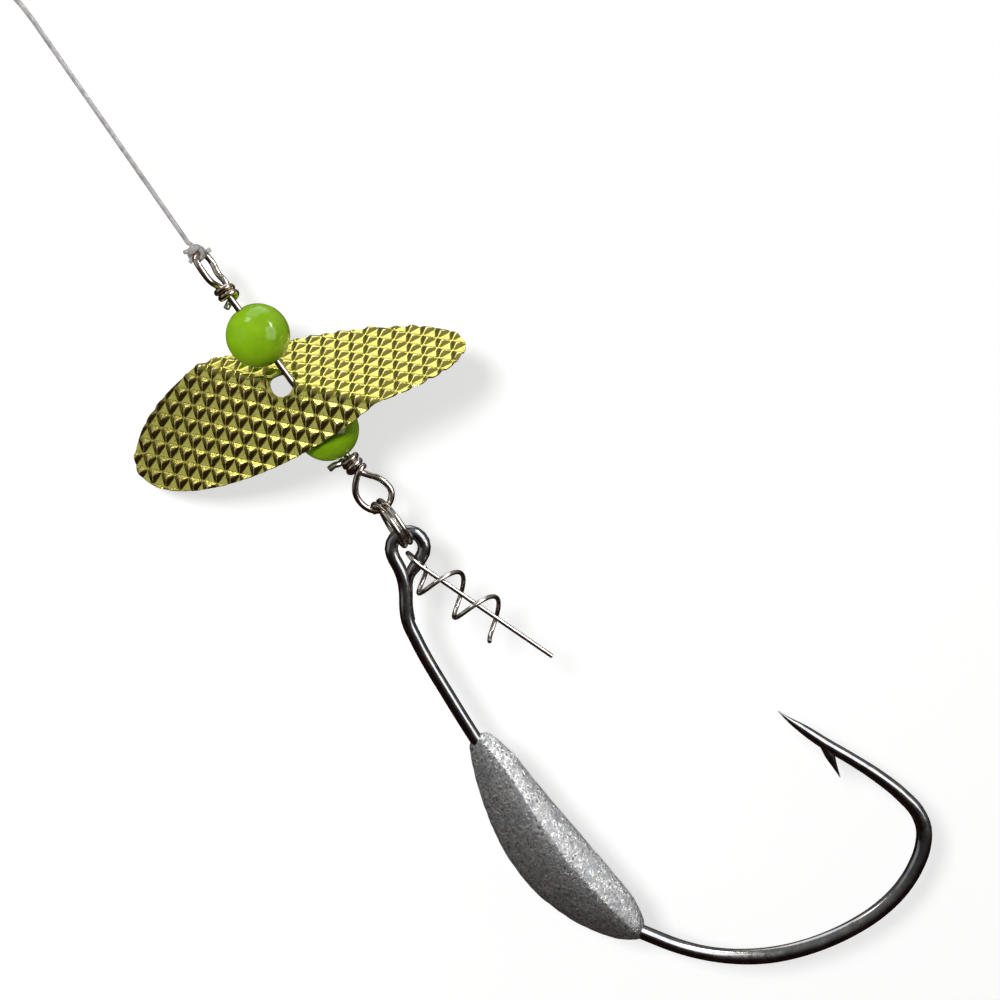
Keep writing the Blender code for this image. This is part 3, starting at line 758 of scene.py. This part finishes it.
blade = {
    "length": 35.8, "width": 13.4, "hole": 1.27, "wall": 0.13,
    "foldAngle": math.radians(50), "foldRadius": 1.2, "foldFromLength": math.radians(36),
    "centre": (-0.85, -0.2, -15.2), "shift": (-0.1, -0.35),
    "foldDirection": (0.609, -0.574, -0.548), "ridgeDirection": (-0.022, -0.703, 0.711),
    "columns": 310, "rows": 118,
}
embossing = {
    "Pitch": 1.595, "Height": 0.27, "Roof": 0.95, "Floor": -0.25, "Softness": 0.25, "Phase": 0.195,
    "Rim": 1.27, "Rim Width": 0.45,
}


def makeEmbossTree():
    # lifts a flat sheet into rows of small faceted points, and keeps the lift as an attribute, which the
    # gold film turns into a painted highlight on the crests and painted shade on the slopes
    tree = bpy.data.node_groups.new("embossedSheet", "GeometryNodeTree")
    newSocket(tree, "Geometry", "NodeSocketGeometry", "INPUT")
    for name, value in embossing.items():
        newSocket(tree, name, "NodeSocketFloat", "INPUT", value)
    newSocket(tree, "Surface", "NodeSocketMaterial", "INPUT")
    newSocket(tree, "Geometry", "NodeSocketGeometry", "OUTPUT")
    start = tree.nodes.new("NodeGroupInput")
    end = tree.nodes.new("NodeGroupOutput")

    def calc(operation, first, second=None, third=None):
        node = tree.nodes.new("ShaderNodeMath")
        node.operation = operation
        for socket, value in zip(node.inputs, (first, second, third)):
            if value is None:
                continue
            if isinstance(value, bpy.types.NodeSocket):
                tree.links.new(value, socket)
            else:
                socket.default_value = value
        return node.outputs[0]

    position = tree.nodes.new("GeometryNodeInputPosition")
    split = tree.nodes.new("ShaderNodeSeparateXYZ")
    tree.links.new(position.outputs["Position"], split.inputs["Vector"])
    along = calc("SUBTRACT", split.outputs["X"], start.outputs["Phase"])
    across = split.outputs["Y"]
    halfPitch = calc("MULTIPLY", start.outputs["Pitch"], 0.5)
    halfRows = calc("MULTIPLY", start.outputs["Pitch"], math.sqrt(3) / 2)
    facet = calc("MULTIPLY", start.outputs["Pitch"], math.sqrt(3) / 6)

    def nearest(alongValue, acrossValue):
        # how far towards the nearest of a point's three sides, for one rectangular set of points
        right = calc("PINGPONG", alongValue, halfPitch)
        up = calc("WRAP", acrossValue, halfRows, calc("MULTIPLY", halfRows, -1.0))
        slanted = calc("SUBTRACT", calc("MULTIPLY", right, math.sqrt(3) / 2), calc("MULTIPLY", up, 0.5))
        return calc("MAXIMUM", up, slanted)

    first = nearest(along, across)
    second = nearest(calc("SUBTRACT", along, halfPitch), calc("SUBTRACT", across, halfRows))
    distance = calc("MINIMUM", first, second)
    slope = calc("SUBTRACT", 1.0, calc("DIVIDE", distance, facet))
    lift = calc("SMOOTH_MIN", slope, start.outputs["Roof"], start.outputs["Softness"])
    lift = calc("SMOOTH_MAX", lift, start.outputs["Floor"], start.outputs["Softness"])
    fromHole = tree.nodes.new("ShaderNodeVectorMath")
    fromHole.operation = "LENGTH"
    tree.links.new(position.outputs["Position"], fromHole.inputs[0])
    clear = tree.nodes.new("ShaderNodeMapRange")
    tree.links.new(fromHole.outputs["Value"], clear.inputs["Value"])
    tree.links.new(start.outputs["Rim"], clear.inputs["From Min"])
    tree.links.new(calc("ADD", start.outputs["Rim"], start.outputs["Rim Width"]), clear.inputs["From Max"])
    lift = calc("MULTIPLY", lift, clear.outputs["Result"])
    raised = tree.nodes.new("ShaderNodeCombineXYZ")
    tree.links.new(calc("MULTIPLY", lift, start.outputs["Height"]), raised.inputs["Z"])
    keep = tree.nodes.new("GeometryNodeStoreNamedAttribute")
    keep.data_type = "FLOAT"
    keep.domain = "POINT"
    keep.inputs["Name"].default_value = "emboss"
    tree.links.new(start.outputs["Geometry"], keep.inputs["Geometry"])
    tree.links.new(lift, keep.inputs["Value"])
    move = tree.nodes.new("GeometryNodeSetPosition")
    tree.links.new(keep.outputs["Geometry"], move.inputs["Geometry"])
    tree.links.new(raised.outputs["Vector"], move.inputs["Offset"])
    realize = tree.nodes.new("GeometryNodeRealizeInstances")
    tree.links.new(move.outputs["Geometry"], realize.inputs["Geometry"])
    paint = tree.nodes.new("GeometryNodeSetMaterial")
    tree.links.new(realize.outputs["Geometry"], paint.inputs["Geometry"])
    tree.links.new(start.outputs["Surface"], paint.inputs["Material"])
    tree.links.new(paint.outputs["Geometry"], end.inputs["Geometry"])
    return tree


def flatBlade():
    # an oval grid in mm, cut by the hole at its middle
    sheet = bmesh.new()
    bmesh.ops.create_grid(sheet, x_segments=blade["columns"], y_segments=blade["rows"], size=1.0)
    slant = Matrix.Rotation(blade["foldFromLength"], 2)
    for corner in sheet.verts:
        x, y = corner.co.x, corner.co.y
        oval = Vector((x * math.sqrt(1 - y * y / 2) * blade["length"] / 2,
                       y * math.sqrt(1 - x * x / 2) * blade["width"] / 2))
        turned = slant @ oval
        corner.co = (turned.x + blade["shift"][0], turned.y + blade["shift"][1], 0.0)
    inside = [face for face in sheet.faces if face.calc_center_median().length < blade["hole"]]
    bmesh.ops.delete(sheet, geom=inside, context="FACES")
    for corner in sheet.verts:
        if corner.is_boundary and corner.co.length < blade["hole"] * 1.5:
            corner.co *= blade["hole"] / corner.co.length
    mesh = bpy.data.meshes.new("bladeSheet")
    sheet.to_mesh(mesh)
    sheet.free()
    return mesh


def foldPoint(point):
    # where a point of the flat sheet lands when it is bent over the ridge, lift included
    half = blade["foldAngle"] / 2
    arc = blade["foldRadius"] * blade["foldAngle"]
    bend = max(-half, min(half, point.y / arc * blade["foldAngle"]))
    beyond = point.y - bend / blade["foldAngle"] * arc
    radius = blade["foldRadius"]
    y = radius * math.sin(bend) + beyond * math.cos(bend)
    z = radius * (math.cos(bend) - 1.0) - abs(beyond) * math.sin(abs(bend))
    return Vector((point.x, y + point.z * math.sin(bend), z + point.z * math.cos(bend)))


def setInputs(modifier, values):
    for item in modifier.node_group.interface.items_tree:
        if item.item_type == "SOCKET" and item.in_out == "INPUT" and item.name in values:
            modifier[item.identifier] = values[item.name]


def evaluatedMesh(holder, name):
    bpy.context.view_layer.update()
    mesh = bpy.data.meshes.new_from_object(holder.evaluated_get(bpy.context.evaluated_depsgraph_get()))
    mesh.name = name
    holder.modifiers.clear()
    return mesh


def makeBlade():
    sheet = bpy.data.objects.new("bladeSheet", flatBlade())
    bpy.context.scene.collection.objects.link(sheet)
    press = sheet.modifiers.new("press", "NODES")
    press.node_group = makeEmbossTree()
    setInputs(press, {**embossing, "Surface": goldFilm})
    pressed = evaluatedMesh(sheet, "pressedSheet")
    for corner in pressed.vertices:
        corner.co = foldPoint(corner.co)
    sheet.data = pressed
    wall = sheet.modifiers.new("wall", "SOLIDIFY")
    wall.thickness = blade["wall"]
    wall.offset = 0.0
    wall.use_rim = True
    mesh = evaluatedMesh(sheet, "propellerBlade")
    bpy.data.objects.remove(sheet, do_unlink=True)
    along = Vector(blade["foldDirection"]).normalized()
    ridge = Vector(blade["ridgeDirection"])
    ridge = (ridge - along * ridge.dot(along)).normalized()
    axes = Matrix((along, ridge.cross(along), ridge)).transposed().to_4x4()
    x, y, z = blade["centre"]
    mesh.transform(Matrix.Translation(at(x, z, y)) @ axes @ Matrix.Scale(mm, 4))
    return addPiece("propellerBlade", mesh, goldFilm, "propeller", "gold_film", "blade", sharpAngle=38)


makeBlade()
print("blade made")


# split ring

ring = {
    "radius": 0.28, "turnRadius": 2.45, "pitch": 0.62, "turns": 1.95, "turnSteps": 90,
    "start": math.radians(35), "yaw": math.radians(10), "lean": math.radians(4.7),
    "centre": (-0.3, 0.0, -32.32),
}


def makeRing():
    steps = round(ring["turns"] * ring["turnSteps"])
    x, y, z = ring["centre"]
    tilt = Matrix.Rotation(ring["yaw"], 3, "Z") @ Matrix.Rotation(ring["lean"], 3, "Y")
    path = []
    for index in range(steps + 1):
        angle = ring["start"] + 2 * math.pi * ring["turns"] * index / steps
        side = ring["pitch"] * ring["turns"] * (index / steps - 0.5)
        reach = ring["turnRadius"]
        point = tilt @ Vector((side, reach * math.cos(angle), reach * math.sin(angle)))
        path.append(point + Vector((x, y, z + leaderKnotHeight)))
    return wirePiece("splitRing", path, ring["radius"], brightSteel, "ring", "bright_steel",
                     "split_ring")


makeRing()
print("split ring made")


# hook: forged eye, shank, wide bend, point and barb

hook = {
    # outlines are x, height and a share of the wire's radius; the barb's third value is its own radius
    "radius": 0.65, "eye": (-0.55, -35.2), "eyeRadius": 1.6, "eyeFrom": -74, "eyeTo": 186, "eyeStep": 20,
    "forgedFrom": -84.0, "forgedOver": 6.0, "forgedFlat": 0.16, "barbFlat": 0.8,
    "spacing": 0.45, "sides": 28, "barbSpacing": 0.25, "barbSides": 16, "dome": 0.6,
    "tuck": (
        (-4.22, -41.3, 0.28), (-3.78, -40.2, 0.40), (-2.98, -38.9, 0.50), (-2.25, -37.85, 0.62),
        (-1.72, -37.36, 0.84), (-1.1, -37.12, 0.96)),
    "shank": (
        (-2.36, -36.35, 1.0), (-2.7, -37.5, 1.0), (-3.35, -38.75, 1.0), (-4.1, -39.85, 1.0),
        (-4.75, -41.1, 1.0), (-5.15, -43.0, 1.0), (-5.95, -50.0, 1.0), (-6.35, -55.1, 1.0),
        (-6.6, -61.0, 1.0), (-6.7, -67.0, 1.0), (-6.5, -72.5, 1.05), (-5.9, -77.8, 1.1),
        (-4.95, -81.3, 1.14), (-4.02, -83.05, 1.15)),
    "bend": (
        (-2.39, -85.8, 1.14), (-0.42, -88.35, 1.16), (1.88, -90.56, 1.25), (4.44, -92.4, 1.31),
        (7.24, -93.8, 1.31), (10.18, -94.8, 1.31), (13.22, -95.4, 1.31), (16.31, -95.55, 1.31),
        (19.36, -95.06, 1.31), (21.66, -94.1, 1.31), (23.72, -92.6, 1.31), (24.88, -91.0, 1.26)),
    "point": (
        (25.3, -89.0, 1.18), (25.0, -86.6, 1.12), (24.03, -83.1, 1.04), (22.85, -80.0, 0.96),
        (21.55, -76.95, 0.93), (20.62, -74.4, 0.76), (20.02, -72.75, 0.42), (19.56, -71.15, 0.04)),
    "barb": ((21.45, -77.15, 0.50), (21.3, -78.3, 0.50), (21.1, -79.5, 0.28), (20.87, -80.95, 0.04)),
}


def hookLine():
    # centre line in mm with a thickness share at each point, from the eye's tucked end to the point
    x, z = hook["eye"]
    control = list(hook["tuck"])
    for degrees in range(hook["eyeFrom"], hook["eyeTo"], hook["eyeStep"]):
        angle = math.radians(degrees)
        across, rise = hook["eyeRadius"] * math.cos(angle), hook["eyeRadius"] * math.sin(angle)
        control.append((x + across, z + rise, 1.0))
    control += [*hook["shank"], *hook["bend"], *hook["point"]]
    rows = smoothPath([Vector(row) for row in control], hook["spacing"])
    path = [Vector((row.x, 0.0, row.y + leaderKnotHeight)) for row in rows]
    return path, [max(0.02, row.z) * hook["radius"] for row in rows]


def makeHook():
    path, radii = hookLine()
    flats = []
    for point in path:
        depth = point.z - leaderKnotHeight
        forged = max(0.0, min(1.0, (hook["forgedFrom"] - depth) / hook["forgedOver"]))
        flats.append(1.0 - hook["forgedFlat"] * forged)
    shape = bmesh.new()
    sweep(shape, path, radii, hook["sides"], flats, hook["dome"])
    rows = smoothPath([Vector(row) for row in hook["barb"]], hook["barbSpacing"])
    barbPath = [Vector((row.x, 0.0, row.y + leaderKnotHeight)) for row in rows]
    barbRadii, barbFlats = [row.z for row in rows], [hook["barbFlat"]] * len(rows)
    sweep(shape, barbPath, barbRadii, hook["barbSides"], barbFlats, hook["dome"])
    return addPiece("forgedHook", meshFrom(shape, "forgedHook"), blackNickel, "hook_body",
                    "black_nickel", "hook")


makeHook()
print("hook made")


# cast keel weight

keel = {
    "sections": (  # height, inner edge, outer edge, ridge, thickness
        (-54.75, -5.7, -6.7, -6.2, 0.9), (-55.4, -4.85, -7.45, -5.9, 1.9),
        (-58.3, -4.25, -8.75, -5.75, 3.4), (-61.5, -4.1, -9.8, -5.85, 4.5),
        (-65.0, -3.95, -10.65, -6.05, 5.2), (-68.5, -3.7, -10.95, -6.15, 5.4),
        (-72.0, -3.5, -10.75, -6.05, 5.25), (-75.3, -3.3, -9.95, -5.75, 4.7),
        (-78.3, -3.2, -8.75, -5.4, 3.9), (-81.0, -3.7, -7.05, -5.1, 2.7),
        (-82.2, -4.7, -5.7, -5.1, 1.1)),
    "sides": 88, "sharpness": 1.45, "rows": 84, "sink": 0.02,
    "lump": 0.05, "lumpSize": 0.9, "lumpStart": (3.0, 1.0, 2.0), "grain": 0.03, "grainSize": 5.5,
}


def roundPower(value, power):
    return math.copysign(abs(value) ** power, value)


def sectionAt(share):
    # a section between the listed ones, on a smooth curve through them
    rows = keel["sections"]
    place = share * (len(rows) - 1)
    index = min(len(rows) - 2, int(place))
    part = place - index
    found = []
    for column in range(5):
        before = rows[max(0, index - 1)][column]
        first, second = rows[index][column], rows[index + 1][column]
        after = rows[min(len(rows) - 1, index + 2)][column]
        bend = (2 * before - 5 * first + 4 * second - after) * part ** 2
        twist = (3 * first - before - 3 * second + after) * part ** 3
        found.append(0.5 * (2 * first + (second - before) * part + bend + twist))
    return found


def makeKeel():
    shape = bmesh.new()
    rings = []
    count = keel["rows"]
    for row in range(count + 1):
        z, inner, outer, ridge, thickness = sectionAt(row / count)
        loop = []
        for index in range(keel["sides"]):
            angle = 2 * math.pi * index / keel["sides"]
            cosine, sine = math.cos(angle), math.sin(angle)
            reach = inner - ridge if cosine > 0 else ridge - outer
            power = keel["sharpness"]
            side = ridge + reach * roundPower(cosine, power)
            point = Vector((side, thickness / 2 * roundPower(sine, power), z))
            away = Vector((cosine, sine, 0.0))
            lump = noise.noise(point * keel["lumpSize"] + Vector(keel["lumpStart"])) * keel["lump"]
            grain = noise.noise(point * keel["grainSize"]) * keel["grain"]
            point += away * (lump + grain - keel["sink"])
            loop.append(shape.verts.new(at(point.x, point.z, point.y)))
        rings.append(loop)
    for above, below in zip(rings, rings[1:]):
        for index in range(keel["sides"]):
            after = (index + 1) % keel["sides"]
            shape.faces.new((above[index], below[index], below[after], above[after]))
    shape.faces.new(rings[0])
    shape.faces.new(list(reversed(rings[-1])))
    return addPiece("keelWeight", meshFrom(shape, "keelWeight"), castLead, "hook_body", "cast_lead",
                    "keel_weight", sharpAngle=60)


makeKeel()
print("keel weight made")


# bait keeper: pin, loop through the hook eye and open coil

keeper = {
    "radius": 0.225, "pinTop": (-0.62, -0.98, -36.95), "pinEnd": (4.55, -1.7, -52.0),
    "loop": ((-0.78, -0.92, -36.27), (-0.85, -0.55, -35.76), (-0.85, 0.0, -35.6), (-0.82, 0.6, -35.83),
             (-0.75, 1.05, -36.38)),
    "coilRadius": 1.95, "coilPitch": 4.25, "coilTurns": 2.25, "coilStart": 2.35, "coilOffset": -0.41,
    "turnLean": 0.75, "coilRise": 1.65, "coilClearance": 0.85, "coilTaper": 0.78, "coilGrow": 0.9,
    "turnSteps": 12, "pinShares": (0.0, 0.5, 0.9, 1.0), "spacing": 0.3, "sides": 18,
}


def makeKeeper():
    pinTop, pinEnd = Vector(keeper["pinTop"]), Vector(keeper["pinEnd"])
    control = [pinEnd + (pinTop - pinEnd) * share for share in keeper["pinShares"]]
    control += [Vector(point) for point in keeper["loop"]]
    axis = (pinEnd - pinTop).normalized()
    side = Vector((-axis.z, 0.0, axis.x)).normalized()
    start = pinTop - axis * keeper["coilRise"] + Vector((0.0, keeper["coilClearance"], 0.0))
    steps = int(keeper["coilTurns"] * keeper["turnSteps"])
    for index in range(steps + 1):
        turn = keeper["coilTurns"] * index / steps
        angle = math.radians(90) + 2 * math.pi * turn
        swing = keeper["coilRadius"] * min(1.0, keeper["coilTaper"] + keeper["coilGrow"] * turn)
        along = keeper["coilStart"] + keeper["coilPitch"] * turn + keeper["turnLean"] * math.sin(angle)
        point = start + axis * along + side * (keeper["coilOffset"] + swing * math.cos(angle))
        point.y += swing * math.sin(angle)
        control.append(point)
    smooth = smoothPath(control, keeper["spacing"])
    path = [point + Vector((0.0, 0.0, leaderKnotHeight)) for point in smooth]
    return wirePiece("baitKeeper", path, keeper["radius"], brightSteel, "keeper", "bright_steel",
                     "bait_keeper", sides=keeper["sides"])


makeKeeper()
print("bait keeper made")
